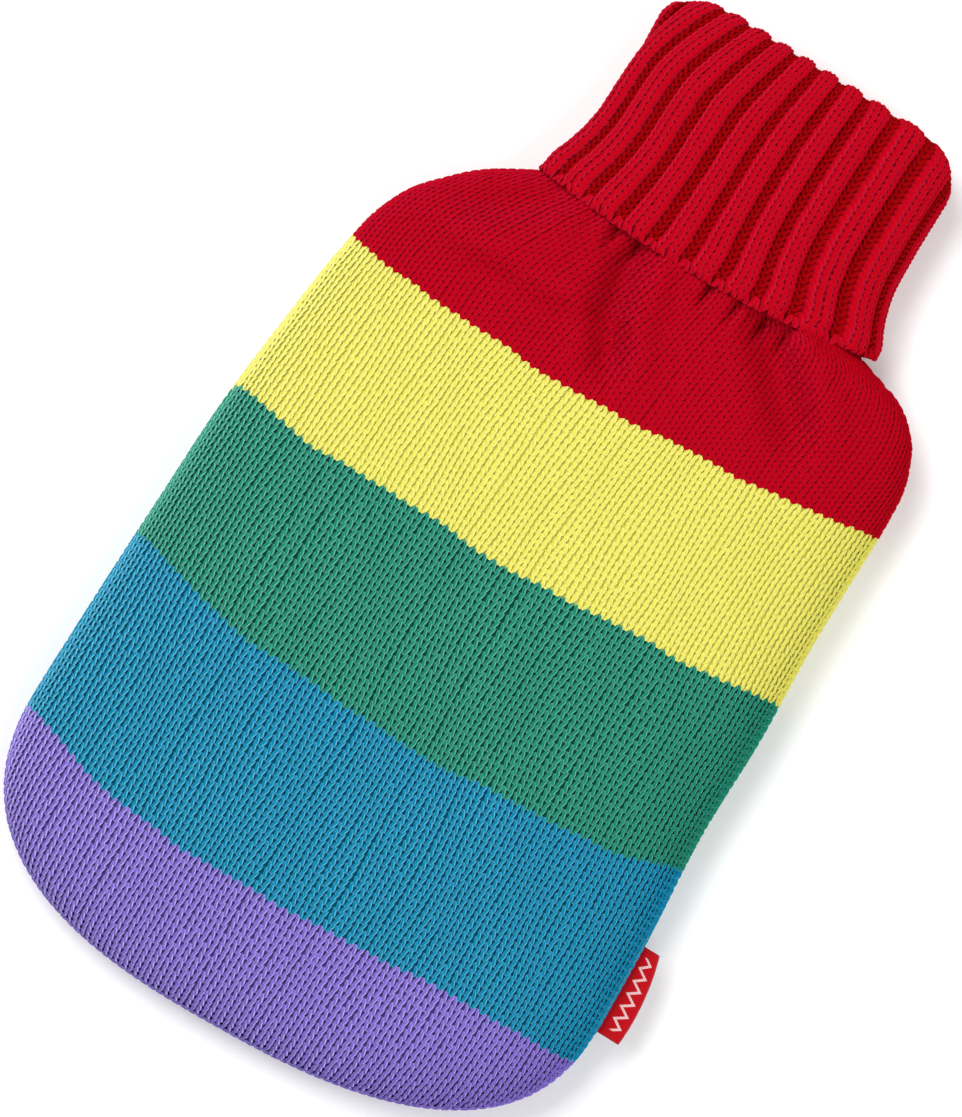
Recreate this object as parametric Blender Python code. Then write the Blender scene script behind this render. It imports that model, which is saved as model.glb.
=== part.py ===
"""A knitted hot water bottle cover, lying on its back in the shape it keeps in use.

Two knitted panels are linked along both sides and round the bottom. A ribbed collar stands on
their neck edges: it goes up, folds over and comes down outside itself as a deep cuff. A folded
tape label is caught in the right-hand side seam. Sizes are in millimetres until a mesh is made.
Y runs from the bottom of the bag to its neck, X to its right as it lies, Z up from the surface.
"""

import math
from collections import namedtuple

import bmesh
import bpy
import numpy as np

MM = 0.001

# The cloth
KNIT_THICKNESS = 2.5
SEAM_GAP = 0.3

# The bag's plan and height at stations from its neck down to where the bottom starts to turn:
# how far it reaches left and right, and the heights of its side seam, front and back
Station = namedtuple("Station", "y left right seam front back")
BAG = (
    Station(284.0, -44.5, 54.5, 15.5, 26.8, 4.2),
    Station(280.0, -48.5, 62.5, 15.3, 27.4, 4.1),
    Station(276.0, -56.0, 75.5, 15.1, 28.2, 3.9),
    Station(268.0, -69.0, 87.0, 14.6, 30.0, 2.2),
    Station(260.0, -77.5, 91.7, 14.1, 31.6, 0.8),
    Station(252.0, -84.5, 94.2, 13.7, 32.8, 0.0),
    Station(243.0, -89.0, 94.9, 13.4, 33.7, -0.5),
    Station(225.0, -93.0, 95.1, 13.0, 35.0, -0.8),
    Station(198.0, -96.2, 95.4, 13.0, 35.8, -0.8),
    Station(165.0, -99.0, 97.2, 13.0, 36.0, -0.8),
    Station(130.0, -99.8, 97.4, 13.0, 36.0, -0.8),
    Station(95.0, -100.4, 100.3, 13.0, 35.6, -0.8),
    Station(64.0, -100.7, 101.9, 13.0, 35.0, -0.8),
)
# Round the bottom the outline is one superellipse, whose lowest line slants up to the right
BOTTOM_POWER = 2.6
BOTTOM_REACH = 1.0
BOTTOM_SLANT = 0.046
# How full the bag's and the collar's sections are: 2 and 2 would make them ellipses
SECTION_POWER = 2.8
SECTION_ROOT = 2.0

# Soft folds in the front: a polyline down the cloth, each a trough with a ridge beside it
Fold = namedtuple("Fold", "path width trough ridge")
FOLDS = (
    Fold(((-15.0, 276.0), (-9.0, 253.0), (2.0, 237.0), (14.0, 219.0)), 8.0, 1.8, 1.0),
    Fold(((36.0, 277.0), (54.0, 253.0), (62.0, 241.0), (68.0, 226.0)), 9.0, 1.5, 0.8),
    Fold(((-48.0, 262.0), (-58.0, 246.0), (-62.0, 232.0)), 9.0, 0.8, 0.4),
)
FOLD_FADE = 9.0
RIDGE_OFFSET = 1.5

# The stripes, from the shoulders down: where each ends at the middle, and how far its lower
# edge rises towards the left and right sides
Stripe = namedtuple("Stripe", "name colour end rise_left rise_right")
STRIPES = (
    Stripe("red", (0.51, 0.0, 0.013), 225.5, 3.0, 9.5),
    Stripe("yellow", (0.84, 0.80, 0.15), 168.3, 4.0, 8.5),
    Stripe("green", (0.026, 0.24, 0.13), 105.5, 11.5, 10.5),
    Stripe("blue", (0.013, 0.26, 0.43), 43.7, 8.5, 6.5),
    Stripe("violet", (0.26, 0.17, 0.62), -20.0, 0.0, 0.0),
)

# The collar's outside, from the cuff's hem up to the fold: left and right reach, and how high
# the cloth stands above the side line
Ring = namedtuple("Ring", "y left right rise")
CUFF = (
    Ring(276.0, -58.0, 69.5, 18.2),
    Ring(283.0, -55.0, 67.2, 17.6),
    Ring(291.0, -51.8, 62.8, 16.6),
    Ring(300.0, -49.6, 59.8, 15.9),
    Ring(315.0, -49.0, 58.5, 15.5),
    Ring(330.0, -48.4, 58.3, 15.5),
    Ring(352.0, -47.6, 58.3, 15.5),
)
COLLAR_SIDE_Z = 15.5
COLLAR_SINK = 0.6
RIBS_AROUND = 22
RIB_RELIEF = 1.6
RIB_WEB = 1.6
LAYER_GAP = 1.0
# The cuff's hem and fold lines, over the collar's own -1 to 1 from side to side
HEM_MIDDLE = 275.4
HEM_TILT = 2.25
HEM_BOW = 5.35
HEM_SCALLOP = 0.9
FOLD_MIDDLE = 350.2
FOLD_DROP_LEFT = 6.0
FOLD_DROP_RIGHT = 3.5
FOLD_DROP_POWER = 8
FOLD_SCALLOP = 0.7
# The left-hand ribs lean to the right where they near the fold
LEAN = 7.5
LEAN_FROM = 322.0
LEAN_GROWTH = 1.5
LEAN_ENDS = 0.27
# The rib beside the right-hand edge lies nearly flat
FLAT_RIB_AT = 0.45
FLAT_RIB_SPREAD = 0.035
FLAT_RIB_FILL = 0.7

# The label: a tape folded in two, its ends caught between the panels
LABEL_TOP = 92.0
LABEL_BOTTOM = 62.0
LABEL_OUT_TOP = 5.4
LABEL_OUT_BOTTOM = 7.6
LABEL_CAUGHT = 3.0
LABEL_TAPE = 0.5
LABEL_SLIT = 0.35
LABEL_BOW = 0.6
LABEL_DROOP = 0.8
LABEL_CLEAR = 0.35
LABEL_EASE = 9.0
LABEL_RUN = 0.3
LABEL_COLOUR = (0.40, 0.004, 0.008)

# How finely each piece is built, and how far its steps crowd towards the ends
PANEL_ACROSS = 28
PANEL_ALONG = 34
CROWDED_ACROSS = 0.7
CROWDED_ALONG = 0.6
POINTS_PER_RIB = 5
RIDGE_POINTS = (1, 2, 3)
OVAL_STEPS = 1440
LABEL_ACROSS = 10
LABEL_ALONG = 8
SHARP_ANGLE = 50.0


def column(rows, name):
    """One named column of a table of stations, as an array that runs with rising Y."""
    return np.array([getattr(row, name) for row in sorted(rows, key=lambda row: row.y)])


def smooth(rows, name, y):
    """A smooth curve through one column of a table, read at Y."""
    ys = column(rows, "y")
    values = column(rows, name)
    slopes = np.gradient(values, ys)
    y = min(max(y, ys[0]), ys[-1])
    k = min(int(np.searchsorted(ys, y, side="right")) - 1, len(ys) - 2)
    span = ys[k + 1] - ys[k]
    t = (y - ys[k]) / span
    rising = t * t * (3 - 2 * t)
    start = t * (1 - t) ** 2 * span * slopes[k]
    end = t * t * (t - 1) * span * slopes[k + 1]
    return values[k] * (1 - rising) + values[k + 1] * rising + start + end


def section(m):
    """The height of a soft section, 1 at its middle and 0 at its sides, at m from -1 to 1."""
    return max(0.0, 1 - abs(m) ** SECTION_POWER) ** (1 / SECTION_ROOT)


def window(x, low, high, ease):
    """1 between low and high, easing to 0 outside them."""
    def step(t):
        t = min(max(t, 0.0), 1.0)
        return t * t * (3 - 2 * t)
    return step((x - low) / ease + 1) * step((high - x) / ease + 1)


def fold_relief(x, y):
    """How far the soft folds move the front of the bag, in Z."""
    relief = 0.0
    for fold in FOLDS:
        nearest = None
        for (x0, y0), (x1, y1) in zip(fold.path, fold.path[1:]):
            dx, dy = x1 - x0, y1 - y0
            t = min(max(((x - x0) * dx + (y - y0) * dy) / (dx * dx + dy * dy), 0.0), 1.0)
            away_x, away_y = x - x0 - t * dx, y - y0 - t * dy
            away = math.hypot(away_x, away_y)
            side = math.copysign(away, dx * away_y - dy * away_x)
            if nearest is None or away < abs(nearest):
                nearest = side
        top, bottom = fold.path[0][1], fold.path[-1][1]
        fade = window(y, bottom + FOLD_FADE, top, 2 * FOLD_FADE)
        across = nearest / fold.width
        relief -= fade * fold.trough * math.exp(-(across ** 2))
        relief += fade * fold.ridge * math.exp(-((across - RIDGE_OFFSET) ** 2))
    return relief


def bag_point(across, along, inset, face):
    """A point of a panel: across from -1 to 1, along from 0 at the neck to 1 at the bottom seam.

    inset is 0 on the cloth's outside and its thickness inside; face is 1 in front, -1 behind.
    """
    neck_y, turn_y = BAG[0].y, BAG[-1].y
    left, right = BAG[-1].left + inset, BAG[-1].right - inset
    middle, half = (left + right) / 2, (right - left) / 2
    reach = BOTTOM_REACH + BOTTOM_SLANT * (middle + half * across) + inset
    depth = turn_y - reach
    end = turn_y - depth * max(0.0, 1 - abs(across) ** BOTTOM_POWER) ** (1 / BOTTOM_POWER)
    y = neck_y + along * (end - neck_y)
    left, right = smooth(BAG, "left", y) + inset, smooth(BAG, "right", y) - inset
    x = (left + right) / 2 + (right - left) / 2 * across
    past_turn = max(0.0, turn_y - y) / depth
    m = (abs(across) ** BOTTOM_POWER + past_turn ** BOTTOM_POWER) ** (1 / BOTTOM_POWER)
    m = 1.0 if along >= 1 else min(1.0, m)
    seam = smooth(BAG, "seam", y)
    parting = SEAM_GAP + label_parting(x, y)
    if face > 0:
        lift = smooth(BAG, "front", y) - inset - seam + fold_relief(x, y)
        z = seam + parting / 2 + (lift - parting / 2) * section(m)
    else:
        drop = seam - smooth(BAG, "back", y) - inset
        z = max(inset, seam - parting / 2 - (drop - parting / 2) * section(m))
    return x, y, z


def label_parting(x, y):
    """How far the linked edges part round the caught ends of the label."""
    tape = 2 * LABEL_TAPE + LABEL_SLIT + 2 * LABEL_CLEAR - SEAM_GAP
    return tape * window(y, LABEL_BOTTOM - 2, LABEL_TOP + 2, LABEL_EASE) if x > 0 else 0.0


def crowded(t, ends):
    """Moves even steps from 0 to 1 closer together towards both ends."""
    return (1 - ends) * t + ends * (1 - math.cos(math.pi * t)) / 2


def new_object(name, mesh, colours):
    """An object for a finished mesh, with one plain material for each named colour."""
    mesh.name = name
    for colour_name, colour in colours:
        material = bpy.data.materials.new(f"{name}_{colour_name}")
        material.use_nodes = True
        shader = material.node_tree.nodes["Principled BSDF"]
        shader.inputs["Base Color"].default_value = (*colour, 1.0)
        shader.inputs["Roughness"].default_value = 0.85
        shader.inputs["Metallic"].default_value = 0.0
        material.diffuse_color = (*colour, 1.0)
        mesh.materials.append(material)
    mesh.shade_smooth()
    mesh.set_sharp_from_angle(angle=math.radians(SHARP_ANGLE))
    return bpy.data.objects.new(name, mesh)


def slab(columns, rows, place):
    """A sheet with a thickness: a grid, extruded, whose every corner goes where place() says.

    place takes the grid's 0 to 1 both ways and 0 on the outer face or 1 on the inner one.
    """
    mesh = bpy.data.meshes.new("slab")
    shape = bmesh.new()
    bmesh.ops.create_grid(shape, x_segments=columns, y_segments=rows, size=0.5)
    faces = list(shape.faces)
    made = bmesh.ops.extrude_face_region(shape, geom=faces)
    inner = {item for item in made["geom"] if isinstance(item, bmesh.types.BMVert)}
    for vert in shape.verts:
        u, v = vert.co.x + 0.5, vert.co.y + 0.5
        spot = place(u, v, 1 if vert in inner else 0)
        vert.co = [value * MM for value in spot]
    bmesh.ops.recalc_face_normals(shape, faces=shape.faces)
    shape.to_mesh(mesh)
    shape.free()
    return mesh


def stripe_of(x, y):
    """Which stripe a point of the bag is in."""
    left, right = BAG[-1].left, BAG[-1].right
    for k, stripe in enumerate(STRIPES):
        side = x / left if x < 0 else x / right
        rise = stripe.rise_left if x < 0 else stripe.rise_right
        if y > stripe.end + rise * side * side:
            return k
    return len(STRIPES) - 1


def make_panel(name, face):
    """One knitted panel, with its open neck edge, its linked sides and its rounded bottom."""
    def place(u, v, layer):
        across = 2 * crowded(u, CROWDED_ACROSS) - 1
        return bag_point(across, crowded(1 - v, CROWDED_ALONG), layer * KNIT_THICKNESS, face)

    mesh = slab(PANEL_ACROSS, PANEL_ALONG, place)
    piece = new_object(name, mesh, [(stripe.name, stripe.colour) for stripe in STRIPES])
    for polygon in mesh.polygons:
        polygon.material_index = stripe_of(polygon.center.x / MM, polygon.center.y / MM)
    return piece


Oval = namedtuple("Oval", "ways sides rises length")


def collar_oval():
    """The collar's section: sideways and upward places against the way round it, and its length.

    The way runs from 0 at the left-hand side over the front to 0.5 and back underneath to 1.
    """
    half = (CUFF[-1].right - CUFF[-1].left) / 2
    angles = np.linspace(math.pi, -math.pi, OVAL_STEPS + 1)
    sides = np.sign(np.cos(angles)) * np.abs(np.cos(angles)) ** (2 / SECTION_POWER)
    rises = np.sin(angles)
    steps = np.hypot(np.diff(sides) * half, np.diff(rises) * CUFF[-1].rise)
    travelled = np.concatenate([[0.0], np.cumsum(steps)])
    return Oval(travelled / travelled[-1], sides, rises, travelled[-1])


def rib_height(way):
    """0 in the rib's valley and 1 on its ridge, at a way round the collar from 0 to 1."""
    phase = (way * RIBS_AROUND) % 1.0
    step = round(phase * POINTS_PER_RIB) % POINTS_PER_RIB
    ridge = 1.0 if step in RIDGE_POINTS else 0.0
    flat = math.exp(-(((way - FLAT_RIB_AT) / FLAT_RIB_SPREAD) ** 2))
    return ridge + (1 - ridge) * FLAT_RIB_FILL * flat


def leaned(way, y, oval):
    """The way round the collar after the left-hand ribs' lean near the fold."""
    if way > LEAN_ENDS:
        return way
    ramp = max(0.0, (y - LEAN_FROM) / (FOLD_MIDDLE - LEAN_FROM)) ** LEAN_GROWTH
    fade = math.sin(math.pi * way / LEAN_ENDS)
    return way + LEAN / oval.length * ramp * fade


def collar_point(oval, way, stage):
    """A point of the collar at a way round it and a stage along its closed profile."""
    ridge = rib_height(way)
    side = float(np.interp(way, oval.ways, oval.sides))
    drop = FOLD_DROP_LEFT if side < 0 else FOLD_DROP_RIGHT
    hem = HEM_MIDDLE + HEM_TILT * side + HEM_BOW * side * side - HEM_SCALLOP * ridge
    thickest = RIB_WEB + RIB_RELIEF
    turn = thickest + LAYER_GAP / 2
    top = FOLD_MIDDLE - drop * abs(side) ** FOLD_DROP_POWER - FOLD_SCALLOP * (1 - ridge) - turn
    neck = BAG[0].y + SEAM_GAP
    sheet = RIB_WEB + RIB_RELIEF * ridge
    kind, place = stage
    if kind == "cuff_out":
        depth, y = thickest - sheet, hem + place * (top - hem)
    elif kind == "cuff_in":
        depth, y = thickest, hem + place * (top - hem)
    elif kind == "wall_in":
        depth, y = thickest + LAYER_GAP + sheet, neck + place * (top - neck)
    elif kind == "wall_out":
        depth, y = thickest + LAYER_GAP, neck + place * (top - neck)
    else:
        radius = LAYER_GAP / 2 + (sheet if kind == "fold_out" else 0.0)
        depth = turn - radius * math.cos(place * math.pi)
        y = top + radius * math.sin(place * math.pi)
    side_now = float(np.interp(leaned(way, y, oval), oval.ways, oval.sides))
    rise_now = float(np.interp(leaned(way, y, oval), oval.ways, oval.rises))
    station = CUFF[-1].y if kind.startswith("wall") else y
    left = smooth(CUFF, "left", station) + depth
    right = smooth(CUFF, "right", station) - depth
    x = (left + right) / 2 + (right - left) / 2 * side_now
    lift = smooth(CUFF, "rise", station) - depth
    if rise_now >= 0:
        return x, y, COLLAR_SIDE_Z + lift * rise_now
    fall = COLLAR_SIDE_Z + COLLAR_SINK - depth
    return x, y, max(depth, COLLAR_SIDE_Z + fall * rise_now)


def collar_profile():
    """The stages of the collar's closed profile, from the hem up the outside and back."""
    stages = [("cuff_out", place) for place in (0.0, 0.07, 0.18, 0.34, 0.56, 0.8, 1.0)]
    stages += [("fold_out", place) for place in (0.25, 0.5, 0.75)]
    stages += [("wall_in", place) for place in (1.0, 0.7, 0.35, 0.0)]
    stages += [("wall_out", place) for place in (0.0, 0.5, 1.0)]
    stages += [("fold_in", 0.5)]
    stages += [("cuff_in", place) for place in (1.0, 0.56, 0.18, 0.0)]
    return stages


def make_collar():
    """The ribbed collar: a ring primitive whose every point is led along the folded cloth."""
    stages = collar_profile()
    around = RIBS_AROUND * POINTS_PER_RIB
    bpy.ops.mesh.primitive_torus_add(major_segments=around, minor_segments=len(stages))
    ring = bpy.context.object
    mesh = ring.data
    oval = collar_oval()
    spots = []
    for index in range(len(mesh.vertices)):
        way, stage = divmod(index, len(stages))
        spots.append(collar_point(oval, way / around, stages[stage]))
    mesh.vertices.foreach_set("co", np.array(spots).ravel() * MM)
    bpy.data.objects.remove(ring)
    shape = bmesh.new()
    shape.from_mesh(mesh)
    bmesh.ops.recalc_face_normals(shape, faces=shape.faces)
    shape.to_mesh(mesh)
    shape.free()
    return new_object("collar", mesh, [("red", STRIPES[0].colour)])


def make_label():
    """The label's tape: out from the seam, round its fold and back under itself."""
    outer = LABEL_TAPE + LABEL_SLIT / 2

    def place(u, v, layer):
        y = LABEL_BOTTOM + v * (LABEL_TOP - LABEL_BOTTOM)
        edge = smooth(BAG, "right", y)
        out = LABEL_OUT_BOTTOM + v * (LABEL_OUT_TOP - LABEL_OUT_BOTTOM)
        out += LABEL_BOW * 4 * v * (1 - v)
        fold_x = edge + out - outer
        caught_x = edge - LABEL_CAUGHT
        radius = outer - layer * LABEL_TAPE
        bend = min(max((u - LABEL_RUN) / (1 - 2 * LABEL_RUN), 0.0), 1.0) * math.pi
        run = min(u / LABEL_RUN, 1.0, (1 - u) / LABEL_RUN)
        x = caught_x + run * (fold_x - caught_x) + radius * math.sin(bend)
        droop = LABEL_DROOP * max(0.0, (x - edge) / out) ** 2
        return x, y, smooth(BAG, "seam", y) + radius * math.cos(bend) - droop

    mesh = slab(LABEL_ACROSS, LABEL_ALONG, place)
    return new_object("label", mesh, [("woven_red", LABEL_COLOUR)])


def footprint_middle(pieces):
    """The middle of everything, seen from above."""
    corners = np.array([vert.co for piece in pieces for vert in piece.data.vertices])
    low, high = corners.min(axis=0), corners.max(axis=0)
    return (low + high) / 2


def main():
    for thing in list(bpy.data.objects):
        bpy.data.objects.remove(thing)
    cover = bpy.data.collections.new("hot_water_bottle_cover")
    bpy.context.scene.collection.children.link(cover)
    pieces = [
        make_panel("front_panel", 1),
        make_panel("back_panel", -1),
        make_collar(),
        make_label(),
    ]
    middle = footprint_middle(pieces)
    frame = bpy.data.objects.new("cover_frame", None)
    frame.location = (-middle[0], -middle[1], 0.0)
    cover.objects.link(frame)
    for piece in pieces:
        cover.objects.link(piece)
        piece.parent = frame
    bpy.context.view_layer.update()


main()
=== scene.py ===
"""The looks of a knitted hot water bottle cover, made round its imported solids.

Sizes are in millimetres until a mesh is made. Y runs from the bottom of the bag to its neck,
X to the right as its front is seen, and Z up from the surface that it lies on.
"""

import math
from collections import namedtuple

import bmesh
import bpy
import numpy as np
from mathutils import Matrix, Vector


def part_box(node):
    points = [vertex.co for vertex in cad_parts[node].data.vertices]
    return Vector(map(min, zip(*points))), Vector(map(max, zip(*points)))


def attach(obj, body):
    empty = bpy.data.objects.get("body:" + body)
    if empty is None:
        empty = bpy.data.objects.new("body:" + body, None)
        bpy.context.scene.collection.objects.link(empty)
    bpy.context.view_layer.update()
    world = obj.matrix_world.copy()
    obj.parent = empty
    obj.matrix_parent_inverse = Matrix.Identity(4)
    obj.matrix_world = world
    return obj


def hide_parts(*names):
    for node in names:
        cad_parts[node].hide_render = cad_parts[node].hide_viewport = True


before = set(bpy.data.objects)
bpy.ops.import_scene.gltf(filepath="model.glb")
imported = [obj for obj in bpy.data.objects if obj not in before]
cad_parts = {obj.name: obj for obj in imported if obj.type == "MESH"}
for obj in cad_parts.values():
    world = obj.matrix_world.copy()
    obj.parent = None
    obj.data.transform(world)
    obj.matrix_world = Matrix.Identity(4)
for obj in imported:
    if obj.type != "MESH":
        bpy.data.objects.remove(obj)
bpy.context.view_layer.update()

# ----------------------------------------------------------------------------------------------
# The front panel's cloth: plain machine knitting in soft acrylic yarn, five stripes deep. It is
# stretched over the bottle's bulge, gathers into the neck in soft folds, and is linked to the
# back panel along both sides and round the bottom. This is the ground behind its stitches,
# coloured with the painted shade of the gaps between them.
# ----------------------------------------------------------------------------------------------

MM = 0.001
# A panel's face: towards +Z or towards -Z
FRONT = 1
BACK = -1
CLOTH_THICKNESS = 1.4
# How far the ground lies below the solid's surface, and the gap between the two panels' edges
CLOTH_INSET = 1.15
SEAM_GAP = 0.3
# The sheet's columns and rows, and how much closer they lie towards its sides and its ends
CLOTH_GRID = (128, 76)
CROWDED_SIDES = 0.7
CROWDED_ENDS = 0.5

# The bag's plan and height at stations from its neck down to where the bottom starts to turn:
# how far it reaches left and right, and the heights of its side seam, front and back
Station = namedtuple("Station", "y left right seam front back")
BAG = (
    Station(284.0, -44.5, 54.5, 15.5, 26.8, 4.2),
    Station(280.0, -48.5, 62.5, 15.3, 27.4, 4.1),
    Station(276.0, -56.0, 75.5, 15.1, 28.2, 3.9),
    Station(268.0, -69.0, 87.0, 14.6, 30.0, 2.2),
    Station(260.0, -77.5, 91.7, 14.1, 31.6, 0.8),
    Station(252.0, -84.5, 94.2, 13.7, 32.8, 0.0),
    Station(243.0, -89.0, 94.9, 13.4, 33.7, -0.5),
    Station(225.0, -93.0, 95.1, 13.0, 35.0, -0.8),
    Station(198.0, -96.2, 95.4, 13.0, 35.8, -0.8),
    Station(165.0, -99.0, 97.2, 13.0, 36.0, -0.8),
    Station(130.0, -99.8, 97.4, 13.0, 36.0, -0.8),
    Station(95.0, -100.4, 100.3, 13.0, 35.6, -0.8),
    Station(64.0, -100.7, 101.9, 13.0, 35.0, -0.8),
)
# Round the bottom the outline is one superellipse, whose lowest line slants up to the right
BOTTOM_POWER = 2.6
BOTTOM_REACH = 1.0
BOTTOM_SLANT = 0.046
# The bag's section, and how far its front bulges up, as a share of its half width
SECTION_POWER = 2.8
SECTION_ROOT = 2.0
BULGE_FRONT = 0.226
BULGE_STEPS = 900

# The soft folds that run down from the collar: each a trough with a ridge on its left as it runs
Fold = namedtuple("Fold", "path width trough ridge")
FOLDS = (
    Fold(((-18.0, 284.0), (-15.5, 266.0), (-12.5, 250.0), (-7.0, 241.0), (-2.0, 226.0)),
         width=6.2, trough=7.4, ridge=4.2),
    Fold(((24.0, 284.0), (33.0, 272.0), (43.0, 261.0), (52.0, 253.0), (64.0, 238.0)),
         width=7.2, trough=8.2, ridge=3.8),
    Fold(((-40.0, 280.0), (-50.0, 270.0), (-64.0, 259.0), (-80.0, 248.0)),
         width=7.5, trough=5.2, ridge=3.0),
    Fold(((-92.0, 243.0), (-60.0, 240.5), (-34.0, 239.5), (-12.0, 243.0)),
         width=6.5, trough=3.2, ridge=3.0),
)
# The share of its run in which a fold fades in and out, and its ridge's place, in fold widths
FOLD_FADE = 0.25
RIDGE_OFFSET = 1.5

# Where the panel gathers into the collar: small troughs that fade out below the hem
Gather = namedtuple("Gather", "x depth")
GATHERS = (
    Gather(-46.0, 0.8), Gather(-32.0, 1.6), Gather(-24.0, 5.2), Gather(-15.4, 4.4),
    Gather(-8.6, 1.6), Gather(9.8, 4.6), Gather(19.6, 4.2), Gather(24.7, 1.4),
    Gather(29.0, 5.2), Gather(37.6, 4.4), Gather(48.0, 1.2), Gather(58.0, 0.6),
)
GATHER_WIDTH = 1.6
GATHER_PUFF = 1.3
GATHER_FROM = 274.0
GATHER_FADE = 10.0

# The label's ends part the linked edges here
LABEL_TOP = 92.0
LABEL_BOTTOM = 62.0
LABEL_PARTING = 1.75
LABEL_MARGIN = 2.0
LABEL_EASE = 5.0

# The knitting: 56 wales from side to side, some of which end at the shoulder's seam, and for each
# stripe, from the bottom up, its yarn's colour, how much of it the painted shade of the ground and
# the painted shade on the yarn's sides and ends keep, how much white the painted highlight on its
# crown adds, the yarn's half width in wales, its courses, and its upper edge's height at seven
# places
WALES = 56
WALES_ENDED = 0.55
EDGE_PLACES = (-95.0, -70.0, -40.0, 0.0, 40.0, 70.0, 95.0)
Stripe = namedtuple("Stripe", "name colour ground deep bloom yarn courses top")
STRIPES = (
    Stripe("violet", (0.33, 0.25, 0.655), 0.47, 0.85, 0.19, 0.160, 21,
           (53.2, 45.8, 43.5, 43.7, 47.4, 48.3, 48.9)),
    Stripe("blue", (0.006, 0.34, 0.50), 0.54, 0.90, 0.145, 0.158, 26,
           (116.9, 110.5, 107.2, 105.7, 108.3, 110.5, 117.5)),
    Stripe("green", (0.035, 0.34, 0.25), 0.46, 0.90, 0.135, 0.158, 24,
           (172.0, 169.2, 168.9, 168.6, 170.8, 173.5, 176.6)),
    Stripe("yellow", (0.72, 0.69, 0.203), 1.40, 1.05, 0.09, 0.180, 24,
           (230.2, 227.1, 225.2, 225.7, 228.6, 232.6, 236.3)),
    Stripe("red", (0.397, 0.0015, 0.0235), 2.7, 1.5, 0.0025, 0.235, 27,
           (284.0, 284.0, 284.0, 284.0, 284.0, 284.0, 284.0)),
)
COURSES = sum(stripe.courses for stripe in STRIPES)
# The way from the violet stripe's upper edge to the bottom seam, round the turn
VIOLET_DEPTH = 58.0

# How the knitting wanders: waves that move its wales sideways and its courses up, in stitches,
# and that raise the cloth, in millimetres
Drift = namedtuple("Drift", "size per_x per_y start")
WALE_DRIFTS = (
    Drift(0.17, 0.21, 0.11, 0.4), Drift(0.11, -0.43, 0.17, 2.1), Drift(0.06, 0.9, 0.35, 4.0))
COURSE_DRIFTS = (
    Drift(0.20, 0.33, 0.05, 1.0), Drift(0.13, 0.71, -0.12, 3.3), Drift(0.07, 1.3, 0.2, 5.1))
LIFT_DRIFTS = (
    Drift(0.45, 0.063, 0.041, 0.5), Drift(0.35, -0.05, 0.083, 2.6), Drift(0.2, 0.13, 0.1, 4.4))
# The seams hold the outer stitches in line
DRIFT_HELD = 8

# The yarn's dull surface, how much deeper in hue its painted shade is, and the finer grain of the
# ground behind the stitches
SPECULAR = 0.03
SHEEN_ROUGHNESS = 0.5
GROUND_ROUGHNESS = 0.95
GROUND_DEPTH = 1.5
GRAIN_SCALE = 1500.0
GRAIN_DETAIL = 2.0
GRAIN_FLECK = 0.5
GROUND_BUMP = {"Strength": 0.6, "Distance": 0.0004}

# The frame's own place for the bag: its panel's box is centred on the widest station
panel_low, panel_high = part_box("front_panel")
SHIFT = np.array([
    (panel_low.x + panel_high.x) / 2 / MM - (BAG[-1].left + BAG[-1].right) / 2,
    panel_high.y / MM - BAG[0].y,
    0.0,
])


def smooth_curve(places, values, at):
    """A smooth curve through values at rising places, read at one place or at many."""
    places, values = np.array(places, float), np.array(values, float)
    slopes = np.gradient(values, places)
    at = np.clip(at, places[0], places[-1])
    k = np.clip(np.searchsorted(places, at, side="right") - 1, 0, len(places) - 2)
    span = places[k + 1] - places[k]
    t = (at - places[k]) / span
    rising = t * t * (3 - 2 * t)
    start = t * (1 - t) ** 2 * span * slopes[k]
    end = t * t * (t - 1) * span * slopes[k + 1]
    return values[k] * (1 - rising) + values[k + 1] * rising + start + end


def smooth(rows, name, y):
    """A smooth curve through one named column of a table of stations."""
    rising = sorted(rows, key=lambda row: row.y)
    return smooth_curve([row.y for row in rising], [getattr(row, name) for row in rising], y)


def section(m):
    """The height of a soft section, 1 at its middle and 0 at its sides, at m from -1 to 1."""
    return np.maximum(0.0, 1 - np.abs(m) ** SECTION_POWER) ** (1 / SECTION_ROOT)


def window(x, low, high, ease):
    """1 between low and high, easing to 0 outside them."""
    up = np.clip((x - low) / ease + 1, 0.0, 1.0)
    down = np.clip((high - x) / ease + 1, 0.0, 1.0)
    return up * up * (3 - 2 * up) * down * down * (3 - 2 * down)


def drifted(drifts, x, y):
    """The sum of a few long waves over a surface."""
    return sum(
        drift.size * np.sin(drift.per_x * x + drift.per_y * y + drift.start) for drift in drifts)


def fold_relief(x, y):
    """How far the soft folds and gathers move the front of the bag, in Z."""
    relief = drifted(LIFT_DRIFTS, x, y)
    for fold in FOLDS:
        nearest = np.full_like(x, np.inf)
        run = np.zeros_like(x)
        for k, ((x0, y0), (x1, y1)) in enumerate(zip(fold.path, fold.path[1:])):
            dx, dy = x1 - x0, y1 - y0
            t = np.clip(((x - x0) * dx + (y - y0) * dy) / (dx * dx + dy * dy), 0.0, 1.0)
            away_x, away_y = x - x0 - t * dx, y - y0 - t * dy
            away = np.copysign(np.hypot(away_x, away_y), dx * away_y - dy * away_x)
            nearer = np.abs(away) < np.abs(nearest)
            nearest = np.where(nearer, away, nearest)
            run = np.where(nearer, (k + t) / (len(fold.path) - 1), run)
        fade = window(run, FOLD_FADE, 1 - FOLD_FADE, FOLD_FADE)
        across = nearest / fold.width
        relief -= fade * fold.trough * np.exp(-(across ** 2))
        relief += fade * fold.ridge * np.exp(-((across - RIDGE_OFFSET) ** 2))
    gathered = window(y, GATHER_FROM, BAG[0].y, GATHER_FADE)
    relief += GATHER_PUFF * gathered
    for gather in GATHERS:
        relief -= gathered * gather.depth * np.exp(-(((x - gather.x) / GATHER_WIDTH) ** 2))
    return relief


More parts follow.
